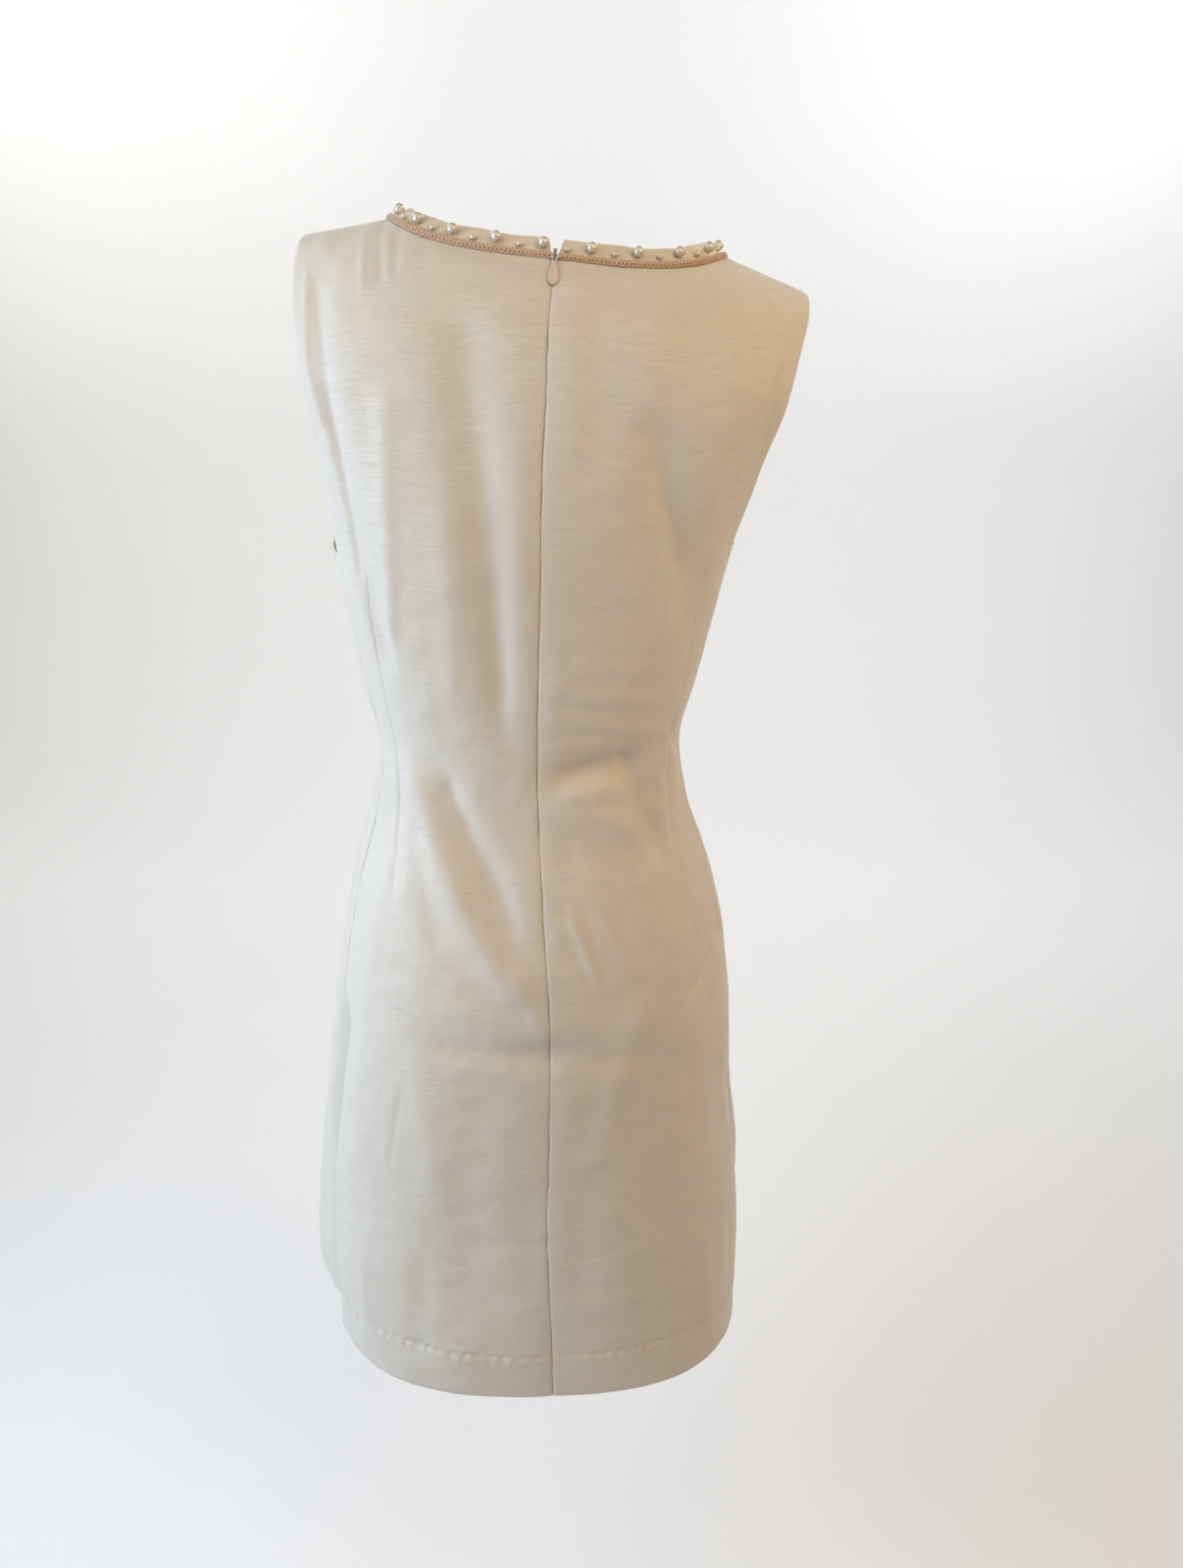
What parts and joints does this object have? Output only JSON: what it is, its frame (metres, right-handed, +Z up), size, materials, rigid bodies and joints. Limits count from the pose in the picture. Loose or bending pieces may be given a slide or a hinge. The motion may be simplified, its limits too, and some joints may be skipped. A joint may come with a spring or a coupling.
{
  "type": "sleeveless shift dress",
  "caption": "Sleeveless boat-neck shift dress worn with its own hollow form, with a back zip and a braid and pearl trimmed neckline.",
  "frame": {"origin": "middle of the shoulder line, between the neck ends of the two shoulder seams, where the wearer carries the dress", "axes": "+Z up, the front faces -Y and the back +Y, +X towards the wearer's left"},
  "size_m": [0.4237, 0.2631, 0.9293],
  "materials": {
    "cloth": "slub weave with a soft satin sheen",
    "band": "smooth satin",
    "braid": "matt plaited cord",
    "pearl": "pearlescent gloss",
    "tape": "matt woven tape",
    "slider": "satin lacquer on metal",
    "pull": "glossy lacquer on metal"
  },
  "bodies": {
    "dress": {"front": "cloth", "back_left": "cloth", "back_right": "cloth", "neck_band_back_left": "band", "neck_band_front": "band", "neck_band_back_right": "band", "neck_braid": "braid", "large_pearl_01": "pearl", "large_pearl_02": "pearl", "large_pearl_03": "pearl", "large_pearl_04": "pearl", "large_pearl_05": "pearl", "large_pearl_06": "pearl", "large_pearl_07": "pearl", "large_pearl_08": "pearl", "large_pearl_09": "pearl", "large_pearl_10": "pearl", "large_pearl_11": "pearl", "large_pearl_12": "pearl", "large_pearl_13": "pearl", "large_pearl_14": "pearl", "large_pearl_15": "pearl", "large_pearl_16": "pearl", "large_pearl_17": "pearl", "large_pearl_18": "pearl", "large_pearl_19": "pearl", "large_pearl_20": "pearl", "small_pearl_01": "pearl", "small_pearl_02": "pearl", "small_pearl_03": "pearl", "small_pearl_04": "pearl", "small_pearl_05": "pearl", "small_pearl_06": "pearl", "small_pearl_07": "pearl", "small_pearl_08": "pearl", "small_pearl_09": "pearl", "small_pearl_10": "pearl", "small_pearl_11": "pearl", "small_pearl_12": "pearl", "small_pearl_13": "pearl", "small_pearl_14": "pearl", "small_pearl_15": "pearl", "small_pearl_16": "pearl", "small_pearl_17": "pearl", "small_pearl_18": "pearl", "small_pearl_19": "pearl", "small_pearl_20": "pearl", "zip_tape_left": "tape", "zip_tape_right": "tape", "zip_slider": "slider"},
    "pull_tab": {"zip_pull": "pull"}
  },
  "joints": [
    {"name": "zip_pull_hinge", "type": "hinge", "parent": "dress", "child": "pull_tab", "pos_m": [0.00292, 0.06877, -0.01775], "axis": [0.9968, -0.0064, 0.0799], "range_deg": [0, 165]}
  ]
}
